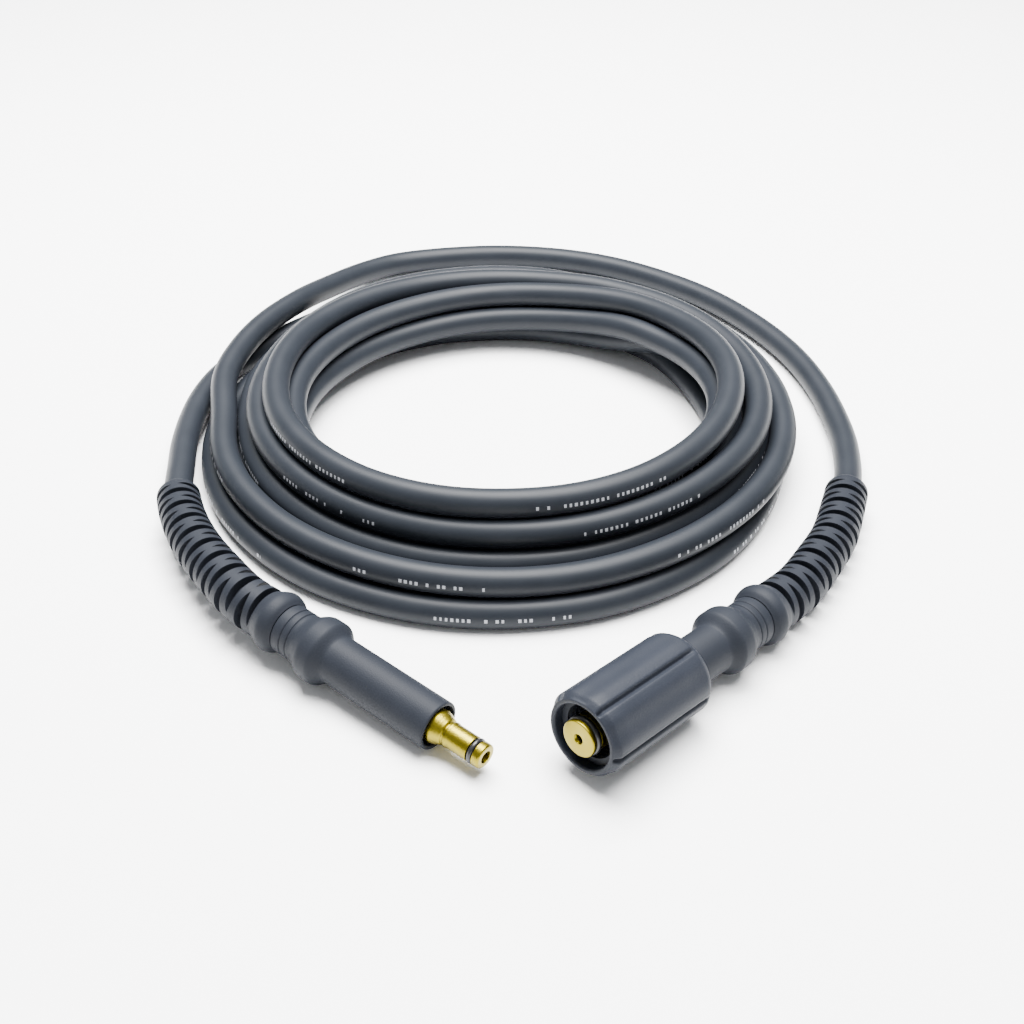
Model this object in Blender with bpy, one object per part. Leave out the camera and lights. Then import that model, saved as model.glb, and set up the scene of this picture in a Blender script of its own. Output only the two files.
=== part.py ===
"""Pressure washer hose, coiled for storage.

One end carries a brass plug nipple in a grip sleeve, the other a hand-turned screw nut.
Units are metres, +Z is up, and the floor is z = 0.
"""
import math

import bmesh
import bpy
from mathutils import Matrix, Vector

GAP = 0.0003                     # clearance between pieces that touch
HOSE_R = 0.006                   # outer radius of the hose

# Coil: where the turns lie in a radial section, layer by layer from the floor up
COIL_CENTRE = (-0.0067, 0.0147)
LAYER_RISE = 2 * HOSE_R * math.cos(math.radians(30))
OUTER_TURN_R = 0.129             # outermost turn, on the floor
FLOOR_TURNS = 3                  # turns side by side on the floor
SECOND_OUTER_R = 0.1215
SECOND_INNER_R = 0.098
THIRD_OUTER_R = 0.1055
THIRD_INNER_R = 0.094
TOP_TURN_R = 0.0995
COIL_SIDES = 48
TURN_ARC_STEP = math.radians(36)
GROOVE_HALF_ANGLE = math.radians(35)

# Grip at each end. Stations run along its axis towards the tip, from the crown of the first bulge
ROOT_STATION = -0.0056
FLANK_STATION = 0.0050
BAND_GROOVES = (0.0096, 0.0128)
BAND_GROOVE_WIDTH = 0.0007
BAND_GROOVE_DEPTH = 0.0004
SECOND_BULGE_STATION = 0.025
SECOND_BULGE_REAR = 0.0105       # from the band to the second bulge's crown
SECOND_BULGE_FRONT = 0.0060      # from its crown to the plain sleeve
ROOT_R = 0.0102
FIRST_BULGE_R = 0.0122
BAND_R = 0.0098
SECOND_BULGE_R = 0.0128
SLEEVE_R = 0.0094
SLEEVE_BORE_R = HOSE_R + 0.0010
SLEEVE_EDGE = 0.0009             # chamfer at the sleeve's end
HOSE_END_STATION = 0.022
SLEEVE_SIDES = 24

# Slotted bend relief behind the first bulge
RELIEF_LENGTH = 0.0952
COLLAR_R = 0.0092
COLLAR_LENGTH = 0.0045           # plain end behind the first slots
COLLAR_EDGE = 0.0018
LAST_WEB = 0.0003                # between the last slots and the first bulge
SLOT_ROWS = 18
SLOT_SHARE = 0.42                # share of the row pitch that is open
RELIEF_SIDES = 12
SLOT_SIDES = 5                   # facets opened by each of the two slots in a row

# Plug end
PLUG_BEARING = math.radians(240.2)   # of the first bulge's crown, about the coil's centre
PLUG_STAND_OFF = 0.0368          # of the crown, from the outermost turn
PLUG_HEADING = math.radians(-39.0)
PLUG_SLEEVE_END = 0.080
RECESS_R = 0.0080
RECESS_DEPTH = 0.008
NIPPLE_REACH = 0.0215            # how far the nipple stands out of its sleeve
NIPPLE_R = 0.0047
NIPPLE_SHOULDER_R = 0.0065
NIPPLE_SHOULDER_REACH = 0.0005
NIPPLE_CONE = 0.0038
NIPPLE_CONE_R = 0.0050           # radius at the small end of the shoulder's cone
NIPPLE_NECK_R = 0.0043
NIPPLE_NECK = 0.0012
NIPPLE_RIDGE_R = 0.0049
NIPPLE_RIDGE = 0.0010
NIPPLE_EDGE = 0.0008
NIPPLE_BORE_R = 0.0016
NIPPLE_MOUTH_R = 0.0024          # wider start of the bore, at the tip
NIPPLE_MOUTH_DEPTH = 0.002
STEM_R = SLEEVE_BORE_R - GAP
PLUG_RING_BACK = 0.0044          # O-ring centre, behind the nipple's tip
PLUG_RING_WIRE = 0.0010
PLUG_RING_MAJOR = 0.0039         # radius of the O-ring's centre line

# Nut end
NUT_BEARING = math.radians(-53.8)
NUT_STAND_OFF = 0.0410
NUT_HEADING = math.radians(225.2)
NUT_REAR = 0.0485
NUT_LENGTH = 0.0538
NUT_R = 0.0161
NUT_SHOULDER = 0.0048            # from the nut's rear edge to its full radius
NUT_SHOULDER_DROP = 0.0037
NUT_NOSE = 0.0030                # from its full radius to its front rim
NUT_NOSE_DROP = 0.0020
NUT_GROOVES = 5                  # narrow grooves between the nut's broad panels
NUT_GROOVE_DEPTH = 0.0008
NUT_TURN = math.radians(13)      # how far the nut lies turned on its neck
NUT_SIDES = 40
NUT_WALL = 0.006
NUT_HOLE_R = SLEEVE_R + 0.0004
CHAMBER_R = 0.0108
THREAD_CREST_R = 0.0102
THREAD_ROOT_R = 0.0110
THREAD_PITCH = 0.0022
THREAD_RINGS = 7
THREAD_RUN_OUT = 0.0010
MOUTH_R = 0.0124
MOUTH_EDGE = 0.0006              # chamfer inside the front rim
MOUTH_DEPTH = 0.0042
NECK_IN_NUT = 0.026
NECK_END = NUT_REAR + NECK_IN_NUT
KEEPER_R = 0.0103                # flange of the insert that keeps the nut on
KEEPER_LENGTH = 0.004
INSERT_R = 0.007
INSERT_PROUD = 0.0014            # insert face in front of the nut's rim
INSERT_BORE_R = 0.0014
INSERT_EDGE = 0.0004
INSERT_DISC = 0.0018
INSERT_BODY = 0.016
INSERT_GROOVE = 0.0026
INSERT_RING_WIRE = 0.00115
INSERT_RING_MAJOR = 0.00645      # radius of the O-ring's centre line

BRASS_SIDES = 20
RING_SIDES = 20
RING_WIRE_SIDES = 6

# Free stretches of hose, from the coil to the relief, chosen by hand: bearing about the coil's
# centre in degrees, stand-off from the turn beside them, height
NUT_TAIL_START = (               # beside the second layer's outer turn
    (168, 0.0123, 0.0184), (156, 0.0181, 0.0184), (145, 0.0235, 0.0184),
)
NUT_TAIL = (                     # beside the outermost turn, as the plug's tail is
    (134, 0.0235, 0.0165), (125, 0.0338, 0.0125), (116, 0.0458, 0.0090), (108, 0.0536, 0.0070),
    (97.5, 0.0553, 0.0061), (87, 0.0550, 0.0061), (76, 0.0534, 0.0061), (65, 0.0495, 0.0061),
    (52, 0.0441, 0.0061), (40, 0.0388, 0.0061), (27, 0.0341, 0.0061), (14, 0.0301, 0.0061),
    (0, 0.0283, 0.0066), (-10, 0.0284, 0.0079), (-17.5, 0.0292, 0.0093), (-25, 0.0305, 0.0098),
    (-32, 0.0333, 0.0102), (-39, 0.0354, 0.0107), (-45.5, 0.0384, 0.0111),
)
PLUG_TAIL = (
    (120, 0.0130, 0.0061), (128, 0.0136, 0.0061), (136, 0.0143, 0.0061), (144, 0.0150, 0.0061),
    (152, 0.0163, 0.0061), (159, 0.0179, 0.0063), (167, 0.0170, 0.0070), (176, 0.0152, 0.0083),
    (186, 0.0145, 0.0105), (195, 0.0157, 0.0125), (204, 0.0202, 0.0142),
    (212.5, 0.0242, 0.0155), (220.5, 0.0279, 0.0162), (228, 0.0315, 0.0164),
    (233.5, 0.0349, 0.0162),
)
TAIL_POINT_STEP = 2 * 2 * HOSE_R
CURVE_SAMPLES = 24
TUBE_RESOLUTION = 2


def clear_scene():
    for obj in list(bpy.data.objects):
        bpy.data.objects.remove(obj, do_unlink=True)


def make_material(name, colour, roughness, metallic=0.0):
    material = bpy.data.materials.new(name)
    material.use_nodes = True
    shader = material.node_tree.nodes["Principled BSDF"]
    shader.inputs["Base Color"].default_value = (*colour, 1.0)
    shader.inputs["Roughness"].default_value = roughness
    shader.inputs["Metallic"].default_value = metallic
    return material


def add_object(name, mesh, material, matrix=None):
    obj = bpy.data.objects.new(name, mesh)
    bpy.context.collection.objects.link(obj)
    mesh.materials.append(material)
    mesh.shade_smooth()
    mesh.set_sharp_from_angle(angle=math.radians(35))
    if matrix is not None:
        obj.matrix_world = matrix
    return obj


def lathe(outline, sides, radius_at=None):
    """Turn a closed outline of (radius, station) points about +Z into a solid with a bore."""
    bm = bmesh.new()
    rings = []
    for step in range(sides):
        angle = 2 * math.pi * step / sides
        ring = []
        for radius, station in outline:
            r = radius_at(radius, angle) if radius_at else radius
            ring.append(bm.verts.new((r * math.cos(angle), r * math.sin(angle), station)))
        rings.append(ring)
    count = len(outline)
    for step in range(sides):
        here, there = rings[step], rings[(step + 1) % sides]
        for k in range(count):
            nxt = (k + 1) % count
            bm.faces.new((here[k], here[nxt], there[nxt], there[k]))
    bmesh.ops.recalc_face_normals(bm, faces=bm.faces)
    mesh = bpy.data.meshes.new("turned")
    bm.to_mesh(mesh)
    bm.free()
    return mesh


def smooth_curve(points):
    """Catmull-Rom curve through the points, as closely spaced samples."""
    pts = [Vector(p) for p in points]
    pts = [2 * pts[0] - pts[1]] + pts + [2 * pts[-1] - pts[-2]]
    samples = []
    for a, b, c, d in zip(pts, pts[1:], pts[2:], pts[3:]):
        for step in range(CURVE_SAMPLES):
            t = step / CURVE_SAMPLES
            samples.append(0.5 * (2 * b + (c - a) * t + (2 * a - 5 * b + 4 * c - d) * t ** 2
                                  + (3 * b - a - 3 * c + d) * t ** 3))
    samples.append(pts[-2])
    return samples


class Path:
    """A sampled curve that can be read by the distance along it."""

    def __init__(self, samples):
        self.samples = samples
        self.marks = [0.0]
        for a, b in zip(samples, samples[1:]):
            self.marks.append(self.marks[-1] + (b - a).length)
        self.length = self.marks[-1]

    def index_at(self, distance):
        for k in range(1, len(self.marks)):
            if self.marks[k] >= distance:
                return k
        return len(self.marks) - 1

    def point(self, distance):
        k = self.index_at(distance)
        share = (distance - self.marks[k - 1]) / (self.marks[k] - self.marks[k - 1])
        return self.samples[k - 1].lerp(self.samples[k], share)

    def frame(self, distance):
        """Point, side and upper direction square to the curve."""
        k = self.index_at(distance)
        along = (self.samples[k] - self.samples[k - 1]).normalized()
        side = along.cross(Vector((0, 0, 1))).normalized()
        return self.point(distance), side, side.cross(along)


def around_coil(radius, bearing, height):
    return Vector((COIL_CENTRE[0] + radius * math.cos(bearing),
                   COIL_CENTRE[1] + radius * math.sin(bearing), height))


def route(turn_radius, points):
    """Points of a free stretch that passes beside a turn of the coil."""
    return [around_coil(turn_radius + stand_off, math.radians(bearing), height)
            for bearing, stand_off, height in points]


def grip_matrix(crown, heading, tilt):
    """Frame of a grip: local +Z runs along its axis from its first crown towards the tip."""
    turn = Matrix.Rotation(heading, 4, "Z") @ Matrix.Rotation(math.pi / 2 - tilt, 4, "Y")
    return Matrix.Translation(crown) @ turn


def plug_frame():
    """The plug grip rests on its second bulge and on the end of its sleeve."""
    run = PLUG_SLEEVE_END - SECOND_BULGE_STATION
    tilt = -math.atan2(SECOND_BULGE_R - SLEEVE_R, run)
    height = SECOND_BULGE_R * math.cos(tilt) - SECOND_BULGE_STATION * math.sin(tilt) + GAP
    crown = around_coil(OUTER_TURN_R + PLUG_STAND_OFF, PLUG_BEARING, height)
    return grip_matrix(crown, PLUG_HEADING, tilt)


def nut_frame():
    """The nut grip rests on its first bulge and on the rear shoulder of the nut."""
    run = NUT_REAR + NUT_SHOULDER
    tilt = math.atan2(NUT_R - FIRST_BULGE_R, run)
    height = FIRST_BULGE_R * math.cos(tilt) + GAP
    crown = around_coil(OUTER_TURN_R + NUT_STAND_OFF, NUT_BEARING, height)
    return grip_matrix(crown, NUT_HEADING, tilt)


def tail_path(points, frame):
    """A free stretch, carried on along the grip's axis to the hose's end."""
    stations = (ROOT_STATION, 0.0, HOSE_END_STATION / 2, HOSE_END_STATION)
    on_axis = [frame @ Vector((0, 0, s)) for s in stations]
    return Path(smooth_curve(points + on_axis))


def relief_start(path):
    """Distance along the path at which the hose enters its relief."""
    return path.length - HOSE_END_STATION + ROOT_STATION - RELIEF_LENGTH


def make_tube(name, path, material):
    data = bpy.data.curves.new(name, "CURVE")
    data.dimensions = "3D"
    data.bevel_depth = HOSE_R
    data.bevel_resolution = TUBE_RESOLUTION
    data.use_fill_caps = True
    data.resolution_u = 1
    fine_from = relief_start(path) - TAIL_POINT_STEP / 2
    coarse = max(2, round(fine_from / TAIL_POINT_STEP))
    fine = max(2, round((path.length - fine_from) / (TAIL_POINT_STEP / 2)))
    marks = [fine_from * k / coarse for k in range(coarse)]
    marks += [fine_from + (path.length - fine_from) * k / fine for k in range(fine + 1)]
    spline = data.splines.new("POLY")
    spline.points.add(len(marks) - 1)
    for point, mark in zip(spline.points, marks):
        point.co = (*path.point(mark), 1.0)
    data.materials.append(material)
    obj = bpy.data.objects.new(name, data)
    bpy.context.collection.objects.link(obj)
    return obj


def coil_outline():
    """Outline of the stacked turns in a radial section, with a flat foot."""
    heights = [HOSE_R + LAYER_RISE * layer for layer in range(4)]
    floor_inner = OUTER_TURN_R - (FLOOR_TURNS - 1) * 2 * HOSE_R
    turns = [(OUTER_TURN_R, heights[0]), (SECOND_OUTER_R, heights[1]), (THIRD_OUTER_R, heights[2]),
             (TOP_TURN_R, heights[3]), (THIRD_INNER_R, heights[2]), (SECOND_INNER_R, heights[1]),
             (floor_inner, heights[0])]
    outline = []
    start = -math.pi / 2
    for k, (radius, height) in enumerate(turns):
        if k + 1 < len(turns):
            nxt = turns[k + 1]
            towards = math.atan2(nxt[1] - height, nxt[0] - radius)
            end = towards - GROOVE_HALF_ANGLE
        else:
            end = 1.5 * math.pi
        while end < start:
            end += 2 * math.pi
        steps = max(2, round((end - start) / TURN_ARC_STEP))
        for step in range(steps + 1):
            angle = start + (end - start) * step / steps
            outline.append((radius + HOSE_R * math.cos(angle), height + HOSE_R * math.sin(angle)))
        if k + 1 < len(turns):
            start = towards + math.pi + GROOVE_HALF_ANGLE
            start = math.atan2(math.sin(start), math.cos(start))
            if k >= 3:
                start %= 2 * math.pi
    return outline


def make_coil(material):
    coil = add_object("hose_coil", lathe(coil_outline(), COIL_SIDES), material)
    coil.location = (*COIL_CENTRE, 0.0)


def relief_sections(path):
    """Sections from the collar to the first bulge's flank: distance, outer radius, slot row."""
    start = relief_start(path)
    slot_run = RELIEF_LENGTH - COLLAR_LENGTH - LAST_WEB
    pitch = slot_run / (SLOT_ROWS - 1 + SLOT_SHARE)
    sections = [(start, COLLAR_R - COLLAR_EDGE, None), (start + COLLAR_EDGE, COLLAR_R, None)]
    for row in range(SLOT_ROWS):
        low = start + COLLAR_LENGTH + pitch * row
        for distance, mark in ((low, row), (low + pitch * SLOT_SHARE, None)):
            share = (distance - start) / RELIEF_LENGTH
            sections.append((distance, COLLAR_R + (ROOT_R - COLLAR_R) * share, mark))
    crown = path.length - HOSE_END_STATION
    drop = FIRST_BULGE_R - BAND_R
    for station, radius in ((ROOT_STATION, ROOT_R), (ROOT_STATION * 0.4, FIRST_BULGE_R - 0.25 * drop),
                            (0.0, FIRST_BULGE_R), (FLANK_STATION * 0.6, FIRST_BULGE_R - 0.3 * drop),
                            (FLANK_STATION, BAND_R)):
        sections.append((crown + station, radius, None))
    return sections


def slot_facets(row):
    """Facets that a row of slots opens: left and right, or above and below in turn."""
    quarter = RELIEF_SIDES // 4
    centres = (quarter, 3 * quarter) if row % 2 else (0, 2 * quarter)
    reach = SLOT_SIDES // 2
    return {(centre + k) % RELIEF_SIDES for centre in centres for k in range(-reach, reach + 1)}


def make_relief(name, path, material):
    sections = relief_sections(path)
    bm = bmesh.new()
    outer, inner = [], []
    for distance, radius, _ in sections:
        centre, side, up = path.frame(distance)
        for rings, r in ((outer, radius), (inner, SLEEVE_BORE_R)):
            ring = []
            for k in range(RELIEF_SIDES):
                angle = 2 * math.pi * (k - 0.5) / RELIEF_SIDES
                outward = math.cos(angle) * side + math.sin(angle) * up
                ring.append(bm.verts.new(centre + r * outward))
            rings.append(ring)
    last = len(sections) - 1
    solid = []
    for i in range(last):
        row = sections[i][2]
        opened = slot_facets(row) if row is not None else set()
        solid.append([k not in opened for k in range(RELIEF_SIDES)])
    for i in range(last):
        for k in range(RELIEF_SIDES):
            if not solid[i][k]:
                continue
            n = (k + 1) % RELIEF_SIDES
            bm.faces.new((outer[i][k], outer[i][n], outer[i + 1][n], outer[i + 1][k]))
            bm.faces.new((inner[i][k], inner[i + 1][k], inner[i + 1][n], inner[i][n]))
            if i == 0 or not solid[i - 1][k]:
                bm.faces.new((outer[i][k], inner[i][k], inner[i][n], outer[i][n]))
            if i == last - 1 or not solid[i + 1][k]:
                bm.faces.new((outer[i + 1][k], outer[i + 1][n], inner[i + 1][n], inner[i + 1][k]))
            if not solid[i][k - 1]:
                bm.faces.new((outer[i][k], outer[i + 1][k], inner[i + 1][k], inner[i][k]))
            if not solid[i][n]:
                bm.faces.new((outer[i][n], inner[i][n], inner[i + 1][n], outer[i + 1][n]))
    bmesh.ops.recalc_face_normals(bm, faces=bm.faces)
    mesh = bpy.data.meshes.new(name)
    bm.to_mesh(mesh)
    bm.free()
    add_object(name, mesh, material)


def sleeve_outline(end, recess_depth):
    """Grip sleeve: grooved band, second bulge, plain sleeve and, at the plug, a recessed end."""
    start = FLANK_STATION + GAP
    outline = [(SLEEVE_BORE_R, start), (BAND_R, start)]
    half = BAND_GROOVE_WIDTH / 2
    floor = BAND_R - BAND_GROOVE_DEPTH
    for station in BAND_GROOVES:
        outline += [(BAND_R, station - half), (floor, station), (BAND_R, station + half)]
    bulge, rear, front = SECOND_BULGE_STATION, SECOND_BULGE_REAR, SECOND_BULGE_FRONT
    rise = SECOND_BULGE_R - BAND_R
    drop = SECOND_BULGE_R - SLEEVE_R
    outline += [(BAND_R, bulge - rear), (BAND_R + 0.35 * rise, bulge - 0.7 * rear),
                (BAND_R + 0.8 * rise, bulge - 0.4 * rear), (SECOND_BULGE_R, bulge),
                (SLEEVE_R + 0.8 * drop, bulge + 0.35 * front),
                (SLEEVE_R + 0.15 * drop, bulge + 0.75 * front), (SLEEVE_R, bulge + front),
                (SLEEVE_R, end - SLEEVE_EDGE), (SLEEVE_R - SLEEVE_EDGE, end)]
    if recess_depth:
        floor = end - recess_depth
        outline += [(RECESS_R, end), (RECESS_R, floor), (SLEEVE_BORE_R, floor)]
    else:
        outline += [(SLEEVE_BORE_R, end)]
    return outline


def nipple_outline():
    """Brass plug: stem in the sleeve, shoulder, ridge, barrel, O-ring groove and tip."""
    rear = HOSE_END_STATION + GAP
    recess = PLUG_SLEEVE_END - RECESS_DEPTH
    shoulder = PLUG_SLEEVE_END + NIPPLE_SHOULDER_REACH
    cone_end = shoulder + NIPPLE_CONE
    ridge = cone_end + NIPPLE_NECK
    ridge_end = ridge + NIPPLE_RIDGE
    tip = PLUG_SLEEVE_END + NIPPLE_REACH
    ring = tip - PLUG_RING_BACK
    seat = PLUG_RING_MAJOR - PLUG_RING_WIRE - GAP
    half = PLUG_RING_WIRE + GAP
    return [(NIPPLE_BORE_R, rear), (STEM_R, rear), (STEM_R, recess),
            (NIPPLE_SHOULDER_R, recess + GAP), (NIPPLE_SHOULDER_R, shoulder),
            (NIPPLE_CONE_R, cone_end), (NIPPLE_NECK_R, cone_end + NIPPLE_EDGE / 2),
            (NIPPLE_NECK_R, ridge - NIPPLE_EDGE / 2),
            (NIPPLE_RIDGE_R, ridge), (NIPPLE_RIDGE_R, ridge_end),
            (NIPPLE_R, ridge_end + NIPPLE_EDGE / 2), (NIPPLE_R, ring - half), (seat, ring - half),
            (seat, ring + half), (NIPPLE_R, ring + half), (NIPPLE_R, tip - NIPPLE_EDGE),
            (NIPPLE_R - NIPPLE_EDGE, tip), (NIPPLE_MOUTH_R, tip),
            (NIPPLE_MOUTH_R, tip - NIPPLE_MOUTH_DEPTH), (NIPPLE_BORE_R, tip - NIPPLE_MOUTH_DEPTH)]


def insert_outline():
    """Brass insert of the nut: stem in the neck, keeper flange, body and end disc."""
    rear = HOSE_END_STATION + GAP
    keeper = NECK_END + GAP
    keeper_end = keeper + KEEPER_LENGTH
    face = NUT_REAR + NUT_LENGTH + INSERT_PROUD
    disc = face - INSERT_DISC
    groove = disc - INSERT_GROOVE
    seat = INSERT_RING_MAJOR - INSERT_RING_WIRE - GAP
    body = groove - INSERT_BODY
    return [(INSERT_BORE_R, rear), (STEM_R, rear), (STEM_R, keeper), (KEEPER_R, keeper),
            (KEEPER_R, keeper_end), (STEM_R, keeper_end), (STEM_R, body),
            (INSERT_R, body + INSERT_EDGE), (INSERT_R, groove), (seat, groove), (seat, disc),
            (INSERT_R, disc), (INSERT_R, face - INSERT_EDGE), (INSERT_R - INSERT_EDGE, face),
            (INSERT_BORE_R, face)]


def ring_outline(major, wire, station):
    angles = [2 * math.pi * k / RING_WIRE_SIDES for k in range(RING_WIRE_SIDES)]
    return [(major + wire * math.cos(a), station + wire * math.sin(a)) for a in angles]


def nut_outline():
    """Screw nut: rounded shoulders outside; rear hole, chamber, thread and mouth inside."""
    rear = NUT_REAR
    front = NUT_REAR + NUT_LENGTH
    thread_end = front - MOUTH_DEPTH
    thread_start = thread_end - THREAD_PITCH * THREAD_RINGS
    outline = [(NUT_HOLE_R, rear)]
    for share in (0.0, 0.25, 0.55, 1.0):
        drop = NUT_SHOULDER_DROP * (1 - share) ** 2
        outline.append((NUT_R - drop, rear + NUT_SHOULDER * share))
    for share in (1.0, 0.55, 0.2, 0.0):
        drop = NUT_NOSE_DROP * (1 - share) ** 2
        outline.append((NUT_R - drop, front - NUT_NOSE * share))
    outline += [(MOUTH_R + MOUTH_EDGE, front), (MOUTH_R, front - MOUTH_EDGE), (MOUTH_R, thread_end)]
    for k in range(THREAD_RINGS):
        high = thread_end - THREAD_PITCH * k
        outline += [(THREAD_CREST_R, high - 0.15 * THREAD_PITCH),
                    (THREAD_ROOT_R, high - 0.65 * THREAD_PITCH)]
    outline += [(THREAD_CREST_R, thread_start), (CHAMBER_R, thread_start - THREAD_RUN_OUT),
                (CHAMBER_R, rear + NUT_WALL), (NUT_HOLE_R, rear + NUT_WALL)]
    return outline


def grooved(radius, angle):
    """Sink narrow grooves between the nut's panels, and leave its rims round."""
    if radius < NUT_R - NUT_NOSE_DROP * 0.9:
        return radius
    groove = 0.5 + 0.5 * math.cos(NUT_GROOVES * angle)
    return radius - NUT_GROOVE_DEPTH * groove ** 6


def build():
    clear_scene()
    rubber = make_material("hose_rubber", (0.075, 0.083, 0.100), 0.45)
    grip_plastic = make_material("grip_plastic", (0.055, 0.060, 0.070), 0.60)
    nut_plastic = make_material("nut_plastic", (0.060, 0.065, 0.078), 0.55)
    brass = make_material("brass", (0.78, 0.66, 0.24), 0.30, 1.0)
    seal = make_material("seal_rubber", (0.015, 0.015, 0.016), 0.50)

    plug, nut = plug_frame(), nut_frame()
    plug_path = tail_path(route(OUTER_TURN_R, PLUG_TAIL), plug)
    nut_points = route(SECOND_OUTER_R, NUT_TAIL_START) + route(OUTER_TURN_R, NUT_TAIL)
    nut_path = tail_path(nut_points, nut)
    make_coil(rubber)
    make_tube("hose_tail_plug_end", plug_path, rubber)
    make_tube("hose_tail_nut_end", nut_path, rubber)
    make_relief("bend_relief_plug_end", plug_path, grip_plastic)
    make_relief("bend_relief_nut_end", nut_path, grip_plastic)

    sleeve = lathe(sleeve_outline(PLUG_SLEEVE_END, RECESS_DEPTH), SLEEVE_SIDES)
    add_object("grip_sleeve_plug_end", sleeve, grip_plastic, plug)
    add_object("plug_nipple", lathe(nipple_outline(), BRASS_SIDES), brass, plug)
    station = PLUG_SLEEVE_END + NIPPLE_REACH - PLUG_RING_BACK
    ring = lathe(ring_outline(PLUG_RING_MAJOR, PLUG_RING_WIRE, station), RING_SIDES)
    add_object("plug_o_ring", ring, seal, plug)

    sleeve = lathe(sleeve_outline(NECK_END, 0.0), SLEEVE_SIDES)
    add_object("grip_sleeve_nut_end", sleeve, grip_plastic, nut)
    add_object("nut_insert", lathe(insert_outline(), BRASS_SIDES), brass, nut)
    station = NUT_REAR + NUT_LENGTH + INSERT_PROUD - INSERT_DISC - INSERT_GROOVE / 2
    ring = lathe(ring_outline(INSERT_RING_MAJOR, INSERT_RING_WIRE, station), RING_SIDES)
    add_object("insert_o_ring", ring, seal, nut)
    turned = nut @ Matrix.Rotation(NUT_TURN, 4, "Z")
    add_object("screw_nut", lathe(nut_outline(), NUT_SIDES, grooved), nut_plastic, turned)


build()
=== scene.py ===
"""Looks of the coiled pressure washer hose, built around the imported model."""
import math

import bmesh
import bpy
import numpy as np
from mathutils import Matrix, Vector


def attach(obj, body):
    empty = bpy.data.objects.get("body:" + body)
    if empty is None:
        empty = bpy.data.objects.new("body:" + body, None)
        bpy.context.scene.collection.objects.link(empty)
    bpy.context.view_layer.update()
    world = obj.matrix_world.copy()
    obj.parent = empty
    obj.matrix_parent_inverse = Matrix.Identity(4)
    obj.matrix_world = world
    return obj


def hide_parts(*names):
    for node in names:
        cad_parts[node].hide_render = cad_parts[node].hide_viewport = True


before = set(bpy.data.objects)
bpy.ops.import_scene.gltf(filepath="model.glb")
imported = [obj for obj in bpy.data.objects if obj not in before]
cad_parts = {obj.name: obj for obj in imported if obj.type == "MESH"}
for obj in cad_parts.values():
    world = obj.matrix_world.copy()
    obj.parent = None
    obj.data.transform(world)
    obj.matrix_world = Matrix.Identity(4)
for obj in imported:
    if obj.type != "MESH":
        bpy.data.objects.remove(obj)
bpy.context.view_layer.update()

# Sizes and places of the CAD model, in metres. Stations run along a grip's axis from the
# crown of its first bulge towards its tip.
GAP = 0.0003
HOSE_R = 0.006
COIL_CENTRE = (-0.0067, 0.0147)
OUTER_TURN_R = 0.129
SECOND_OUTER_R = 0.1215

ROOT_STATION = -0.0056
FLANK_STATION = 0.0050
BAND_GROOVES = (0.0096, 0.0128)
BAND_GROOVE_WIDTH = 0.0008
BAND_GROOVE_DEPTH = 0.0005
BAND_END = 0.0142
BULGE_FLAT = (0.0215, 0.0257)
SECOND_BULGE_STATION = 0.025
BULGE_END = 0.0312
ROOT_R = 0.0102
FIRST_BULGE_R = 0.0122
BAND_R = 0.0098
SECOND_BULGE_R = 0.0128
SLEEVE_R = 0.0094
SLEEVE_BORE_R = HOSE_R + 0.0010
HOSE_END_STATION = 0.022

RELIEF_LENGTH = 0.0952
COLLAR_R = 0.0092
COLLAR_LENGTH = 0.0045
LAST_WEB = 0.0003
RELIEF_BORE_R = HOSE_R + GAP
COLLAR_EDGE = 0.0002
COLLAR_ROUNDING = 0.0022
SLOT_ROWS = 18
SLOT_SHARE = 0.42
SLOT_OPENING = 1.50
SLOT_REACH = math.radians(80)

PLUG_BEARING = math.radians(240.2)
PLUG_STAND_OFF = 0.0368
PLUG_HEADING = math.radians(-39.0)
PLUG_SLEEVE_END = 0.080
PLUG_SLOT_TURN = math.radians(-5.5)
RECESS_R = 0.0080
RECESS_DEPTH = 0.008
STEM_R = SLEEVE_BORE_R - GAP
NIPPLE_END = PLUG_SLEEVE_END + 0.0215
NIPPLE_BORE_R = 0.0016
NIPPLE_MOUTH_R = 0.0024
NIPPLE_MOUTH_DEPTH = 0.002
NIPPLE_R = 0.0047
NIPPLE_SHOULDER_R = 0.0065
NIPPLE_SHOULDER_PROUD = 0.0005
NIPPLE_CONE = 0.0038
NIPPLE_CONE_R = 0.0050
NIPPLE_WAIST_R = 0.0043
NIPPLE_RIDGE_R = 0.0049
NIPPLE_SEAT_R = 0.0026
NIPPLE_SEAT = 0.0026
NIPPLE_RING = NIPPLE_END - 0.0044
NIPPLE_RING_R = 0.0039
NIPPLE_RING_WIRE = 0.0010

NUT_BEARING = math.radians(-53.8)
NUT_STAND_OFF = 0.0410
NUT_HEADING = math.radians(225.2)
NUT_REAR = 0.0485
NUT_FRONT = NUT_REAR + 0.0538
NUT_R = 0.0161
NUT_SHOULDER = 0.0048
NUT_SHOULDER_DROP = 0.0037
NUT_NOSE = 0.0030
NUT_NOSE_DROP = 0.0020
NUT_TURN = math.radians(13)
NUT_GROOVES = 5
GROOVE_DEPTH = 0.0015
PANEL_HOLLOW = 0.0007
NUT_WALL = 0.006
NUT_HOLE_R = SLEEVE_R + 0.0004
CHAMBER_R = 0.0108
THREAD_CREST_R = 0.0102
THREAD_ROOT_R = 0.0110
THREAD_PITCH = 0.0022
THREAD_RINGS = 7
MOUTH_R = 0.0124
MOUTH_EDGE = 0.0006
MOUTH_DEPTH = 0.0042
NECK_END = NUT_REAR + 0.026
KEEPER_R = 0.0103
KEEPER_LENGTH = 0.004
INSERT_R = 0.007
INSERT_FACE = NUT_FRONT + 0.0014
INSERT_DISC = 0.0018
INSERT_GROOVE = 0.0026
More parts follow.
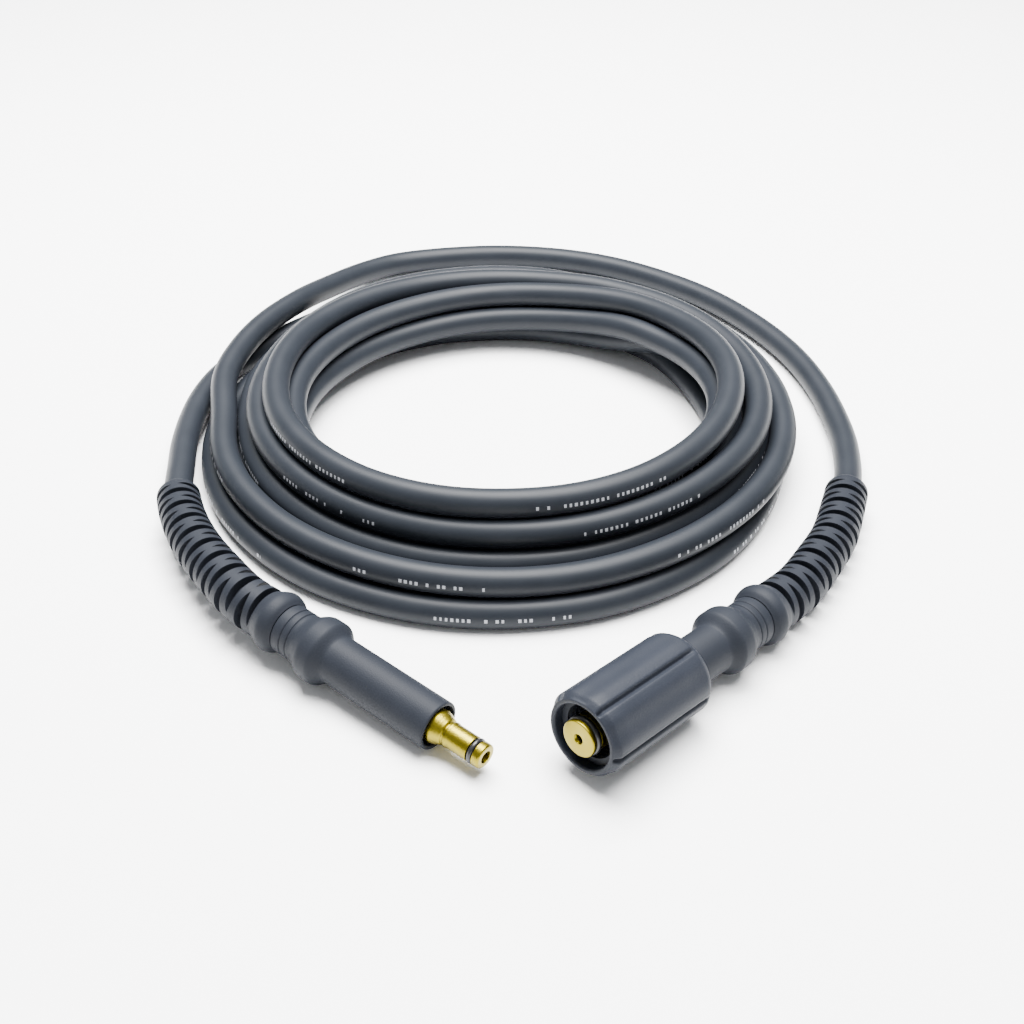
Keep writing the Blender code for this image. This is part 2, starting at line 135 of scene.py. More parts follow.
INSERT_BODY = 0.016
INSERT_SEAT_R = 0.0050
INSERT_BORE_R = 0.0014
INSERT_MOUTH_R = 0.0020
INSERT_MOUTH_DEPTH = 0.0010
INSERT_RING = INSERT_FACE - INSERT_DISC - INSERT_GROOVE / 2
INSERT_RING_R = 0.00645
INSERT_RING_WIRE = 0.00115

# Free stretches of the hose, from the coil to each relief, as in the CAD: bearing about the
# coil's centre in degrees, stand-off from the turn beside them, and height
NUT_TAIL_START = (
    (168, 0.0123, 0.0184), (156, 0.0181, 0.0184), (145, 0.0235, 0.0184),
)
NUT_TAIL = (
    (134, 0.0235, 0.0165), (125, 0.0338, 0.0125), (116, 0.0458, 0.0090), (108, 0.0536, 0.0070),
    (97.5, 0.0553, 0.0061), (87, 0.0550, 0.0061), (76, 0.0534, 0.0061), (65, 0.0495, 0.0061),
    (52, 0.0441, 0.0061), (40, 0.0388, 0.0061), (27, 0.0341, 0.0061), (14, 0.0301, 0.0061),
    (0, 0.0283, 0.0066), (-10, 0.0284, 0.0079), (-17.5, 0.0292, 0.0093), (-25, 0.0305, 0.0098),
    (-32, 0.0333, 0.0102), (-39, 0.0354, 0.0107), (-45.5, 0.0384, 0.0111),
)
PLUG_TAIL = (
    (120, 0.0130, 0.0061), (128, 0.0136, 0.0061), (136, 0.0143, 0.0061), (144, 0.0150, 0.0061),
    (152, 0.0163, 0.0061), (159, 0.0179, 0.0063), (167, 0.0170, 0.0070), (176, 0.0152, 0.0083),
    (186, 0.0145, 0.0105), (195, 0.0157, 0.0125), (204, 0.0202, 0.0142),
    (212.5, 0.0242, 0.0155), (220.5, 0.0279, 0.0162), (228, 0.0315, 0.0164),
    (233.5, 0.0349, 0.0162),
)

# The coil, turn by turn from the plug end: radius and height of the hose's centre line in mm,
# at the back, right, front and left of the coil
TURNS = (
    ((135.0, 6.1), (123.6, 6.1), (129.0, 6.1), (129.0, 6.1)),
    ((123.0, 6.1), (113.0, 6.1), (117.0, 6.1), (117.0, 6.1)),
    ((111.5, 6.1), (103.0, 6.1), (105.0, 6.1), (104.5, 6.1)),
    ((101.0, 6.1), (104.5, 16.0), (98.5, 16.4), (93.5, 16.0)),
    ((90.5, 16.4), (100.5, 26.0), (94.0, 27.0), (94.0, 26.0)),
    ((97.6, 27.0), (102.0, 37.0), (100.5, 36.5), (101.0, 34.8)),
    ((109.2, 28.5), (116.3, 27.3), (106.0, 27.0), (109.0, 25.8)),
    ((119.6, 25.2), (115.0, 16.4), (110.6, 16.4), (113.8, 16.4)),
    ((129.0, 16.4), (126.5, 17.5), (122.4, 16.4), (126.2, 17.6)),
)
POINTS_PER_TURN = 24

# How the turns settle on each other: node spacing, reach of the search for neighbours, nodes
# skipped along the hose in it, space left between surfaces, pull back to the layout,
# smoothing, rounds, and rounds between two searches
NODE_STEP = 0.006
NEAR = 0.020
NEIGHBOURS = 5
SKIN = 0.0001
PULL = 0.015
SMOOTHING = 0.06
ROUNDS = 260
SEARCH_EVERY = 10

# Lengths of the free stretches, from the coil, that may move with it, and the length over
# which a held stretch becomes free
PLUG_END_FREE = 0.05
NUT_END_FREE = 0.01
FREEING = 0.06

# Fineness of the meshes
SPAN_SAMPLES = 12
RING_STEP = 0.0045
HOSE_SIDES = 24
FITTING_SIDES = 96
NUT_SIDES = 240
RELIEF_SIDES = 72
SHARP = math.radians(32)

# Print on the hose: length of a cell, of a group with its pause, and share with ticks in it.
# Girth runs from 0 at the inside of the coil over the top to 1.
PRINT_CELL = 0.0021
PRINT_REPEAT = 0.131
PRINT_SHARE = 0.42
PRINT_GIRTH = 0.475
PRINT_SKIPPED = 0.36

# Lights: name, place, size and power
LIGHTS = (("key", (-0.10, 0.35, 1.25), 0.9, 130.0), ("fill", (0.35, -0.10, 1.35), 0.7, 50.0))
FLOOR_REACH = 6.0


def catmull_rom(points, samples):
    """Smooth curve through the points, with a number of samples on each span."""
    pts = np.array(points, dtype=float)
    pts = np.vstack((2 * pts[0] - pts[1], pts, 2 * pts[-1] - pts[-2]))
    t = (np.arange(samples) / samples)[:, None]
    spans = []
    for a, b, c, d in zip(pts, pts[1:], pts[2:], pts[3:]):
        spans.append(0.5 * (2 * b + (c - a) * t + (2 * a - 5 * b + 4 * c - d) * t ** 2
                            + (3 * b - a - 3 * c + d) * t ** 3))
    return np.vstack(spans + [pts[-2:-1]])


def marks_along(points):
    """Distance of each point along the curve."""
    steps = np.linalg.norm(np.diff(points, axis=0), axis=1)
    return np.concatenate(([0.0], np.cumsum(steps)))


def read_at(points, marks, distances):
    """Points of a curve at the distances along it."""
    return np.stack([np.interp(distances, marks, points[:, axis]) for axis in range(3)], axis=-1)


def respaced(points, step):
    """The same curve with evenly spaced points."""
    marks = marks_along(points)
    count = max(2, round(marks[-1] / step) + 1)
    return read_at(points, marks, np.linspace(0.0, marks[-1], count))


def unit(vectors):
    """Vectors of length one."""
    return vectors / np.linalg.norm(vectors, axis=-1, keepdims=True)


def around_coil(radius, bearing, height):
    """Point at a bearing about the coil's centre."""
    return Vector((COIL_CENTRE[0] + radius * math.cos(bearing),
                   COIL_CENTRE[1] + radius * math.sin(bearing), height))


def route(turn_radius, points):
    """Points of a free stretch that passes beside a turn of the coil."""
    return [around_coil(turn_radius + stand_off, math.radians(bearing), height)
            for bearing, stand_off, height in points]


def grip_matrix(crown, heading, tilt):
    """Frame of a grip: local +Z runs along its axis from its first crown towards the tip."""
    turn = Matrix.Rotation(heading, 4, "Z") @ Matrix.Rotation(math.pi / 2 - tilt, 4, "Y")
    return Matrix.Translation(crown) @ turn


def plug_frame():
    """Frame of the plug's grip, which lies on its second bulge and its sleeve's end."""
    run = PLUG_SLEEVE_END - SECOND_BULGE_STATION
    tilt = -math.atan2(SECOND_BULGE_R - SLEEVE_R, run)
    height = SECOND_BULGE_R * math.cos(tilt) - SECOND_BULGE_STATION * math.sin(tilt) + GAP
    crown = around_coil(OUTER_TURN_R + PLUG_STAND_OFF, PLUG_BEARING, height)
    return grip_matrix(crown, PLUG_HEADING, tilt)


def nut_frame():
    """Frame of the nut's grip, which lies on its first bulge and the nut."""
    tilt = math.atan2(NUT_R - FIRST_BULGE_R, NUT_REAR + NUT_SHOULDER)
    height = FIRST_BULGE_R * math.cos(tilt) + GAP
    crown = around_coil(OUTER_TURN_R + NUT_STAND_OFF, NUT_BEARING, height)
    return grip_matrix(crown, NUT_HEADING, tilt)


def tail_points(points, grip):
    """Points of a free stretch, from the coil to the hose's end inside the grip."""
    stations = (ROOT_STATION, 0.0, HOSE_END_STATION / 2, HOSE_END_STATION)
    return np.array([tuple(p) for p in points + [grip @ Vector((0, 0, s)) for s in stations]])


def coil_points():
    """Points of the coiled stretch, clockwise from the back, one turn after another."""
    table = np.array(TURNS).reshape(-1, 2) / 1000.0
    keys = np.column_stack((table, np.zeros(len(table))))
    smooth = catmull_rom(keys, POINTS_PER_TURN // 4)
    bearings = math.pi / 2 - 2 * math.pi * np.arange(len(smooth)) / POINTS_PER_TURN
    return np.array([tuple(around_coil(radius, bearing, height))
                     for (radius, height, _), bearing in zip(smooth, bearings)])


def near_pairs(points, reach, apart):
    """Index pairs of nodes within reach of each other that aren't neighbours on the hose."""
    count = len(points)
    block_size = 256
    pairs = []
    for start in range(0, count, block_size):
        block = points[start:start + block_size]
        gaps = np.linalg.norm(block[:, None, :] - points[None, :, :], axis=2)
        i, j = np.nonzero(gaps < reach)
        i += start
        keep = np.abs(i - j) > apart
        pairs.append(np.column_stack((i[keep], j[keep])))
    pairs = np.vstack(pairs)
    return pairs[pairs[:, 1] < count - 1]


def push_apart(points, pairs, free):
    """Move nodes and the segments that they touch until they lie a diameter apart."""
    i, j = pairs[:, 0], pairs[:, 1]
    a, b = points[j], points[j + 1]
    along = b - a
    share = np.sum((points[i] - a) * along, axis=1) / np.sum(along * along, axis=1)
    share = np.clip(share, 0.0, 1.0)[:, None]
    offset = points[i] - (a + share * along)
    gap = np.linalg.norm(offset, axis=1)
    apart = 2 * HOSE_R + SKIN
    deep = gap < apart
    if not deep.any():
        return
    i, j, share = i[deep], j[deep], share[deep]
    push = offset[deep] * ((apart - gap[deep]) / gap[deep])[:, None] * 0.5
    move = np.zeros_like(points)
    hits = np.zeros(len(points))
    for index, part, weight in ((i, push, None), (j, -push, 1 - share), (j + 1, -push, share)):
        scaled = part if weight is None else part * weight
        np.add.at(move, index, scaled)
        np.add.at(hits, index, 1.0 if weight is None else weight[:, 0])
    points += free[:, None] * move / np.maximum(hits, 1.0)[:, None]


def settle(points, free):
    """Relax the coil: keep its layout, stay smooth, lie on the floor and on itself."""
    target = points.copy()
    pairs = None
    for k in range(ROUNDS):
        if k % SEARCH_EVERY == 0:
            pairs = near_pairs(points, NEAR, NEIGHBOURS)
        points += PULL * free[:, None] * (target - points)
        bend = points[:-2] - 2 * points[1:-1] + points[2:]
        points[2:-2] -= SMOOTHING * free[2:-2, None] * (bend[:-2] - 2 * bend[1:-1] + bend[2:])
        push_apart(points, pairs, free)
        points[:, 2] = np.maximum(points[:, 2], HOSE_R + SKIN)
    return points


def hose_path(start, finish):
    """Centre line of the whole hose, from the plug end to the nut end. The free stretches are
    held in place, and the coil between them settles."""
    keys = np.vstack((start[::-1], coil_points(), finish))
    whole = respaced(catmull_rom(keys, SPAN_SAMPLES), NODE_STEP)
    marks = marks_along(whole)
    held_start = marks_along(catmull_rom(start, SPAN_SAMPLES))[-1] - PLUG_END_FREE
    held_finish = marks_along(catmull_rom(finish, SPAN_SAMPLES))[-1] - NUT_END_FREE
    free = np.minimum((marks - held_start) / FREEING,
                      (marks[-1] - held_finish - marks) / FREEING)
    free = np.clip(free, 0.0, 1.0)
    return respaced(catmull_rom(settle(whole, free), 4), RING_STEP)


def make_camera():
    """Camera where the photo was taken from, solved from the coil's ellipses."""
    data = bpy.data.cameras.new("camera")
    data.lens = 49.45
    data.sensor_width = 36.0
    camera = bpy.data.objects.new("camera", data)
    camera.location = (-0.0014, -0.5323, 0.3611)
    camera.rotation_euler = (math.radians(90 - 36.21), 0.0, 0.0)
    bpy.context.collection.objects.link(camera)
    bpy.context.scene.camera = camera


def finished_mesh(name, verts, faces):
    """Mesh with faces turned outwards, doubled points joined and its sharp edges marked."""
    mesh = bpy.data.meshes.new(name)
    mesh.from_pydata(verts.tolist(), [], faces)
    bm = bmesh.new()
    bm.from_mesh(mesh)
    bmesh.ops.remove_doubles(bm, verts=bm.verts, dist=1e-6)
    bmesh.ops.recalc_face_normals(bm, faces=bm.faces)
    bm.to_mesh(mesh)
    bm.free()
    mesh.shade_smooth()
    mesh.set_sharp_from_angle(angle=SHARP)
    return mesh


def tube_mesh(name, path):
    """The hose's tube. Its UV map holds the way round it, from the inside up, and its length."""
    count, sides = len(path), HOSE_SIDES
    along = unit(np.gradient(path, axis=0))
    side = unit(np.cross(along, (0.0, 0.0, 1.0)))
    up = np.cross(side, along)
    angles = (2 * np.pi * np.arange(sides) / sides)[None, :, None]
    rings = (path[:, None, :] + HOSE_R * (np.cos(angles) * side[:, None, :]
                                          + np.sin(angles) * up[:, None, :]))
    faces = [(k * sides + s, (k + 1) * sides + s, (k + 1) * sides + (s + 1) % sides,
              k * sides + (s + 1) % sides) for k in range(count - 1) for s in range(sides)]
    faces += [tuple(range(sides)), tuple(reversed(range((count - 1) * sides, count * sides)))]
    mesh = bpy.data.meshes.new(name)
    mesh.from_pydata(rings.reshape(-1, 3).tolist(), [], faces)
    marks = marks_along(path)
    layer = mesh.uv_layers.new(name="strip")
    for face in mesh.polygons:
        closing = face.index < (count - 1) * sides and face.index % sides == sides - 1
        for loop in face.loop_indices:
            ring, s = divmod(mesh.loops[loop].vertex_index, sides)
            layer.data[loop].uv = ((sides if closing and s == 0 else s) / sides, marks[ring])
    mesh.shade_smooth()
    return mesh


def rounded(corners):
    """Outline with some corners rounded: each corner is (radius, station, rounding)."""
    points = []
    count = len(corners)
    for k, (radius, station, size) in enumerate(corners):
        here = np.array((radius, station))
        if not size:
            points.append(here)
            continue
        before = np.array(corners[k - 1][:2]) - here
        after = np.array(corners[(k + 1) % count][:2]) - here
        start = here + before * min(0.49, size / np.linalg.norm(before))
        end = here + after * min(0.49, size / np.linalg.norm(after))
        for t in (0.0, 0.25, 0.5, 0.75, 1.0):
            points.append((1 - t) ** 2 * start + 2 * t * (1 - t) * here + t ** 2 * end)
    return points


def swell(start, end, steps):
    """Corners of a smooth S between two (radius, station) points, ends included."""
    corners = []
    for k in range(steps + 1):
        t = k / steps
        ease = t * t * (3 - 2 * t)
        corners.append((start[0] + (end[0] - start[0]) * ease,
                        start[1] + (end[1] - start[1]) * t, 0))
    return corners


def turned_mesh(name, outline, sides, shape=None):
    """Solid turned about +Z from a closed outline of (radius, station) points."""
    outline = np.array(outline)
    angles = 2 * np.pi * np.arange(sides)[:, None] / sides
    radius = np.repeat(outline[None, :, 0], sides, axis=0)
    if shape:
        radius = shape(radius, outline[None, :, 1], angles)
    stations = np.repeat(outline[None, :, 1], sides, axis=0)
    verts = np.stack((radius * np.cos(angles), radius * np.sin(angles), stations), axis=-1)
    count = len(outline)
    faces = [(s * count + k, s * count + (k + 1) % count, (s + 1) % sides * count + (k + 1) % count,
              (s + 1) % sides * count + k) for s in range(sides) for k in range(count)]
    return finished_mesh(name, verts.reshape(-1, 3), faces)


def ring_outline(major, wire, station):
    """Round section of an O-ring."""
    angles = 2 * np.pi * np.arange(16) / 16
    return np.column_stack((major + wire * np.cos(angles), station + wire * np.sin(angles)))


def sleeve_outline(end, recess_depth):
    """Grip sleeve: grooved band, second bulge and plain sleeve with a recessed end."""
    start = FLANK_STATION + GAP
    corners = [(SLEEVE_BORE_R, start, 0), (BAND_R, start, 0.0004)]
    for station in BAND_GROOVES:
        corners += [(BAND_R, station - BAND_GROOVE_WIDTH / 2, 0.0002),
                    (BAND_R - BAND_GROOVE_DEPTH, station, 0.0002),
                    (BAND_R, station + BAND_GROOVE_WIDTH / 2, 0.0002)]
    corners += swell((BAND_R, BAND_END), (SECOND_BULGE_R, BULGE_FLAT[0]), 12)
    corners += swell((SECOND_BULGE_R, BULGE_FLAT[1]), (SLEEVE_R, BULGE_END), 12)
    corners += [(SLEEVE_R, end, 0.0009)]
    if recess_depth:
        corners += [(RECESS_R, end, 0.0005), (RECESS_R, end - recess_depth, 0),
                    (SLEEVE_BORE_R, end - recess_depth, 0)]
    else:
        corners += [(SLEEVE_BORE_R, end, 0)]
    return rounded(corners)


def nipple_outline():
    """Brass plug: stem, shoulder with its cone, ridge, barrel, O-ring groove and tip."""
    rear = HOSE_END_STATION + GAP
    seat = NIPPLE_RING - NIPPLE_SEAT / 2, NIPPLE_RING + NIPPLE_SEAT / 2
    recess = PLUG_SLEEVE_END - RECESS_DEPTH
    shoulder = PLUG_SLEEVE_END + NIPPLE_SHOULDER_PROUD
    cone = shoulder + NIPPLE_CONE
    mouth = NIPPLE_END - NIPPLE_MOUTH_DEPTH
    return rounded([
        (NIPPLE_BORE_R, rear, 0), (STEM_R, rear, 0), (STEM_R, recess, 0),
        (NIPPLE_SHOULDER_R, recess + GAP, 0), (NIPPLE_SHOULDER_R, shoulder, 0.0005),
        (NIPPLE_CONE_R, cone, 0.0003), (NIPPLE_WAIST_R, cone + 0.0004, 0.0002),
        (NIPPLE_WAIST_R, cone + 0.0009, 0.0002), (NIPPLE_RIDGE_R, cone + 0.0013, 0.0003),
        (NIPPLE_RIDGE_R, cone + 0.0022, 0.0003), (NIPPLE_R, cone + 0.0026, 0.0002),
        (NIPPLE_R, seat[0], 0.0002), (NIPPLE_SEAT_R, seat[0], 0), (NIPPLE_SEAT_R, seat[1], 0),
        (NIPPLE_R, seat[1], 0.0002), (NIPPLE_R, NIPPLE_END, 0.0009),
        (NIPPLE_MOUTH_R, NIPPLE_END, 0.0002), (NIPPLE_MOUTH_R, mouth, 0),
        (NIPPLE_BORE_R, mouth, 0)])


def insert_outline():
    """Brass insert of the nut: stem, keeper flange, body, O-ring groove and end disc."""
    rear = HOSE_END_STATION + GAP
    keeper = NECK_END + GAP
    disc = INSERT_FACE - INSERT_DISC
    groove = disc - INSERT_GROOVE
    return rounded([
        (INSERT_BORE_R, rear, 0), (STEM_R, rear, 0), (STEM_R, keeper, 0),
        (KEEPER_R, keeper, 0.0002), (KEEPER_R, keeper + KEEPER_LENGTH, 0.0002),
        (STEM_R, keeper + KEEPER_LENGTH, 0), (STEM_R, groove - INSERT_BODY, 0),
        (INSERT_R, groove - INSERT_BODY + 0.0004, 0), (INSERT_R, groove, 0.0002),
        (INSERT_SEAT_R, groove, 0), (INSERT_SEAT_R, disc, 0), (INSERT_R, disc, 0.0003),
        (INSERT_R, INSERT_FACE, 0.0006), (INSERT_MOUTH_R, INSERT_FACE, 0.0002),
        (INSERT_BORE_R, INSERT_FACE - INSERT_MOUTH_DEPTH, 0.0002)])


def nut_outline():
    """Screw nut: rounded shoulder and nose, rear hole, chamber, thread and mouth."""
    corners = [(NUT_HOLE_R, NUT_REAR, 0.0004)]
    for k in range(11):
        t = k / 10
        corners.append((NUT_R - NUT_SHOULDER_DROP * (1 - t) ** 2.2,
                        NUT_REAR + NUT_SHOULDER * t, 0.0004 if k == 0 else 0))
    corners += [(NUT_R, NUT_REAR + (NUT_FRONT - NUT_REAR) * k / 12, 0) for k in range(2, 11)]
    for k in range(9):
        t = 1 - k / 8
        corners.append((NUT_R - NUT_NOSE_DROP * (1 - t) ** 1.3, NUT_FRONT - NUT_NOSE * t,
                        0.0005 if k == 8 else 0))
    thread_end = NUT_FRONT - MOUTH_DEPTH
    corners += [(MOUTH_R + MOUTH_EDGE, NUT_FRONT, 0.0003), (MOUTH_R, NUT_FRONT - MOUTH_EDGE, 0.0003),
                (MOUTH_R, thread_end, 0)]
    for k in range(THREAD_RINGS):
        high = thread_end - THREAD_PITCH * k
        corners += [(THREAD_CREST_R, high - 0.15 * THREAD_PITCH, 0.0002),
                    (THREAD_ROOT_R, high - 0.65 * THREAD_PITCH, 0.0002)]
    start = thread_end - THREAD_PITCH * THREAD_RINGS
    corners += [(THREAD_CREST_R, start, 0), (CHAMBER_R, start - 0.0010, 0),
                (CHAMBER_R, NUT_REAR + NUT_WALL, 0), (NUT_HOLE_R, NUT_REAR + NUT_WALL, 0)]
    return rounded(corners)


def nut_shape(radius, stations, angles):
    """Sink narrow grooves between the nut's panels and hollow the panels a little. The inside
    and the rounded ends keep their radius."""
    outside = np.clip((radius - NUT_R + NUT_NOSE_DROP * 0.95) / (NUT_NOSE_DROP * 0.35), 0.0, 1.0)
    fade = np.clip((stations - NUT_REAR - 0.002) / 0.004, 0.0, 1.0)
    wave = np.cos(NUT_GROOVES * angles)
    groove = np.exp(-((1 - wave) / 0.040) ** 1.2)
    hollow = np.clip(0.35 - wave, 0.0, None) ** 2 / 1.8
    return radius - outside * fade * (GROOVE_DEPTH * groove + PANEL_HOLLOW * hollow)


def slot_width(row, angles, full):
    """How wide a row's two slots are at each angle: left and right, or above and below."""
    centre = math.pi / 2 if row % 2 else 0.0
    off = np.abs((angles - centre + math.pi / 2) % math.pi - math.pi / 2)
    share = np.clip(off / SLOT_REACH, 0.0, 1.0)
    width = full * (1 - share ** 2.2) ** 0.75
    return np.where(width < 0.00002, 0.0, width)


def relief_rings(crown, angles, turn):
    """Rings of a relief, from its collar to the first bulge. Each holds its distances along the
    hose at the angles, its radius, and where it is open towards the next ring."""
    start = crown + ROOT_STATION - RELIEF_LENGTH
    edge = RELIEF_BORE_R + COLLAR_EDGE
    rings = []
    for t in np.linspace(0.0, 1.0, 8):
        rings.append((start + COLLAR_ROUNDING * (1 - math.cos(t * math.pi / 2)),
                      edge + (COLLAR_R - RELIEF_BORE_R - COLLAR_EDGE) * math.sin(t * math.pi / 2),
                      None))
    pitch = (RELIEF_LENGTH - COLLAR_LENGTH - LAST_WEB) / (SLOT_ROWS - 1 + SLOT_SHARE)
    for row in range(SLOT_ROWS):
        middle = start + COLLAR_LENGTH + pitch * (row + SLOT_SHARE / 2)
        radius = COLLAR_R + (ROOT_R - COLLAR_R) * (middle - start) / RELIEF_LENGTH
        half = slot_width(row, angles - turn, SLOT_OPENING * pitch * SLOT_SHARE) / 2
        rings += [(middle - half, radius, half > 0), (middle + half, radius, None)]
    bump = [(ROOT_STATION, ROOT_R), (ROOT_STATION * 0.4, 0.0116), (0.0, FIRST_BULGE_R),
            (FLANK_STATION * 0.6, 0.0115), (FLANK_STATION, BAND_R)]
    for station, radius, _ in catmull_rom([(s, r, 0) for s, r in bump], 5):
        rings.append((crown + station, radius, None))
    return rings


def relief_points(path, marks, rings, angles):
    """Points of the rings round the hose's path, the outer ones first and then the bore's."""
    near = 0.0005
    distances = np.array([np.broadcast_to(ring[0], angles.shape) for ring in rings])
    centre = read_at(path, marks, distances)
    along = unit(read_at(path, marks, distances + near) - read_at(path, marks, distances - near))
    along[distances + near > marks[-1]] = unit(path[-1] - path[-2])
    side = unit(np.cross(along, (0.0, 0.0, 1.0)))
    up = np.cross(side, along)
    outward = np.cos(angles)[None, :, None] * side + np.sin(angles)[None, :, None] * up
    radii = np.array([ring[1] for ring in rings])[:, None, None]
    return np.concatenate((centre + radii * outward, centre + RELIEF_BORE_R * outward))


def relief_faces(rings):
    """Faces between the rings, with walls in the slots, and the two ends."""
    inner = len(rings) * RELIEF_SIDES
    faces = []
    for j in range(len(rings) - 1):
        opened = rings[j][2]
        for k in range(RELIEF_SIDES):
            n = (k + 1) % RELIEF_SIDES
            low, low_n = j * RELIEF_SIDES + k, j * RELIEF_SIDES + n
            high, high_n = low + RELIEF_SIDES, low_n + RELIEF_SIDES
            if opened is None:
                faces.append((low, low_n, high_n, high))
                faces.append((low + inner, high + inner, high_n + inner, low_n + inner))
            elif opened[k] or opened[n]:
                faces.append((low, low + inner, low_n + inner, low_n))
                faces.append((high, high_n, high_n + inner, high + inner))
    for first in (0, (len(rings) - 1) * RELIEF_SIDES):
        for k in range(RELIEF_SIDES):
            a, b = first + k, first + (k + 1) % RELIEF_SIDES
            faces.append((a, b, b + inner, a + inner))
    return faces


def relief_mesh(name, tail, turn):
    """Bend relief along the hose: collar, rows of pointed slots, and the grip's first bulge."""
    path = catmull_rom(tail, 24)
    marks = marks_along(path)
    angles = 2 * np.pi * (np.arange(RELIEF_SIDES) + 0.5) / RELIEF_SIDES
    rings = relief_rings(marks[-1] - HOSE_END_STATION, angles, turn)
    verts = relief_points(path, marks, rings, angles)
    return finished_mesh(name, verts.reshape(-1, 3), relief_faces(rings))


def add_piece(name, mesh, material, body, node, matrix=None):
    """Show a mesh in place of a CAD node, riding on that node's body."""
    piece = bpy.data.objects.new(name, mesh)
    bpy.context.collection.objects.link(piece)
    if matrix is not None:
        piece.matrix_world = matrix
    mesh.materials.append(material)
    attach(piece, body)
    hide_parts(*node)
    return piece


def add_node(tree, kind, inputs, **settings):
    """Shader node with its inputs, by name or number, set to values or linked to sockets."""
    made = tree.nodes.new(kind)
    for name, value in settings.items():
        setattr(made, name, value)
    for key, value in inputs.items():
        if isinstance(value, bpy.types.NodeSocket):
            tree.links.new(value, made.inputs[key])
        else:
            made.inputs[key].default_value = value
    return made


def maths(tree, operation, *values):
    """Result of a maths node."""
    made = add_node(tree, "ShaderNodeMath", dict(enumerate(values)), operation=operation)
    return made.outputs[0]


def noise(tree, place, scale, detail):
    """Noise value at a place."""
    inputs = {"Vector": place, "Scale": scale, "Detail": detail}
    return add_node(tree, "ShaderNodeTexNoise", inputs).outputs[0]


def blend(tree, share, dark, light):
    """Colour between two colours or sockets."""
    made = add_node(tree, "ShaderNodeMix", {0: share}, data_type="RGBA")
    for socket, value in ((made.inputs[6], dark), (made.inputs[7], light)):
        if isinstance(value, bpy.types.NodeSocket):
            tree.links.new(value, socket)
        else:
            socket.default_value = (*value, 1.0)
    return made.outputs[2]


def grained(name, dark, light, roughness, spread, grain, depth, specular, metallic=0.0):
    """Material whose tone, gloss and fine relief vary over the surface."""
    material = bpy.data.materials.new(name)
    material.use_nodes = True
    tree = material.node_tree
    shader = tree.nodes["Principled BSDF"]
    place = tree.nodes.new("ShaderNodeTexCoord").outputs["Object"]
    patch = noise(tree, place, 70.0, 4.0)
    relief = noise(tree, place, grain, 2.0)
    tone = blend(tree, patch, dark, light)
    gloss = maths(tree, "MULTIPLY_ADD", patch, spread, roughness - spread / 2)
    bump = add_node(tree, "ShaderNodeBump",
                    {"Height": relief, "Strength": depth, "Distance": 0.0002})
    tree.links.new(tone, shader.inputs["Base Color"])
    tree.links.new(gloss, shader.inputs["Roughness"])
    tree.links.new(bump.outputs["Normal"], shader.inputs["Normal"])
    shader.inputs["Metallic"].default_value = metallic
    shader.inputs["Specular IOR Level"].default_value = specular
    return material, tree, shader, place, tone, relief, bump


def print_mask(tree, girth, length):
    """One where a tick or dot of the print is. About one cell in three is skipped, and the rest
    differ in width and height."""
    count = maths(tree, "DIVIDE", length, PRINT_CELL)
    number = maths(tree, "FLOOR", count)
    inside = maths(tree, "FRACT", count)
    chance = add_node(tree, "ShaderNodeTexWhiteNoise", {"W": number},
                      noise_dimensions="1D").outputs["Value"]
    stretch = maths(tree, "FRACT", maths(tree, "DIVIDE", length, PRINT_REPEAT))
    group = maths(tree, "LESS_THAN", stretch, PRINT_SHARE)
    tall = maths(tree, "MULTIPLY_ADD", maths(tree, "GREATER_THAN", chance, 0.35), 0.013, 0.007)
    off = maths(tree, "ABSOLUTE", maths(tree, "SUBTRACT", girth, PRINT_GIRTH))
    wide = maths(tree, "MULTIPLY_ADD", chance, 0.20, 0.10)
    across = maths(tree, "ABSOLUTE", maths(tree, "SUBTRACT", inside, 0.5))
    tick = maths(tree, "MULTIPLY", maths(tree, "LESS_THAN", off, tall),
                 maths(tree, "LESS_THAN", across, wide))
    return maths(tree, "MULTIPLY", maths(tree, "MULTIPLY", tick, group),
                 maths(tree, "GREATER_THAN", chance, PRINT_SKIPPED))


def make_rubber():
    """Hose rubber with fine lengthwise lines and plain pale ticks and dots along its outside."""
    material, tree, shader, place, tone, relief, bump = grained(
        "hose_rubber", (0.0078, 0.0095, 0.0125), (0.0115, 0.0135, 0.0175),
        0.45, 0.10, 900.0, 0.12, 0.13)
    strip = add_node(tree, "ShaderNodeUVMap", {}, uv_map="strip").outputs[0]
    split = add_node(tree, "ShaderNodeSeparateXYZ", {0: strip})
    girth, length = split.outputs[0], split.outputs[1]
    stretched = add_node(tree, "ShaderNodeCombineXYZ", {
        0: maths(tree, "MULTIPLY", girth, 120.0), 1: maths(tree, "MULTIPLY", length, 12.0)})
    lines = noise(tree, stretched.outputs[0], 1.0, 2.0)
    height = maths(tree, "MULTIPLY_ADD", lines, 0.5, maths(tree, "MULTIPLY", relief, 0.5))
    tree.links.new(height, bump.inputs["Height"])
    mask = print_mask(tree, girth, length)
    marked = blend(tree, maths(tree, "MULTIPLY", mask, 0.7), tone, (0.40, 0.41, 0.44))
    tree.links.new(marked, shader.inputs["Base Color"])
    return material


